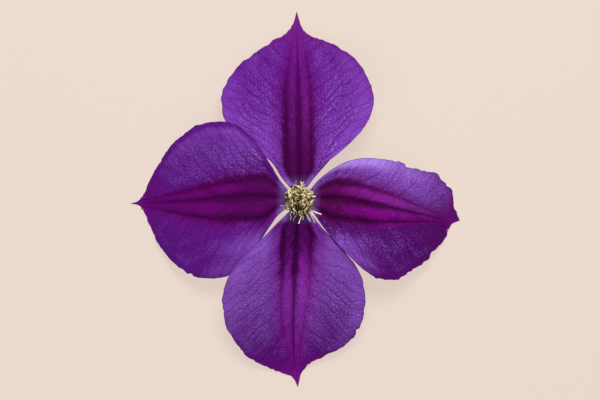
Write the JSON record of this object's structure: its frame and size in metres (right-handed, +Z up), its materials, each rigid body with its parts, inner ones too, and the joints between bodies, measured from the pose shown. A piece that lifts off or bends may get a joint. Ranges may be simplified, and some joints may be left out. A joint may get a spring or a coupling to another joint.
{
  "type": "clematis flower",
  "caption": "Open violet clematis flower with pointed, ribbed tepals round a straw-coloured tuft, cut with a short stalk and lying face up.",
  "frame": {"origin": "on the surface that the flower lies on, under the middle of its box", "axes": "+Z up out of the face of the flower, +Y towards the tip of tepal_top, +X towards tepal_right; the cut stalk lies along -Y under tepal_bottom"},
  "size_m": [0.115, 0.1312, 0.0273],
  "materials": {
    "tepal": "velvety violet blade with a net of darker veins, plum bars along three grooves, and a paler back",
    "stamen": "dry, silky, straw-coloured ribbons",
    "style": "silky straw-coloured threads",
    "stalk": "downy green flushed with brownish purple"
  },
  "bodies": {
    "root": {"tepal_top": "tepal", "tepal_left": "tepal", "tepal_bottom": "tepal", "tepal_right": "tepal", "stamens": "stamen", "styles": "style", "stalk": "stalk"}
  },
  "joints": []
}
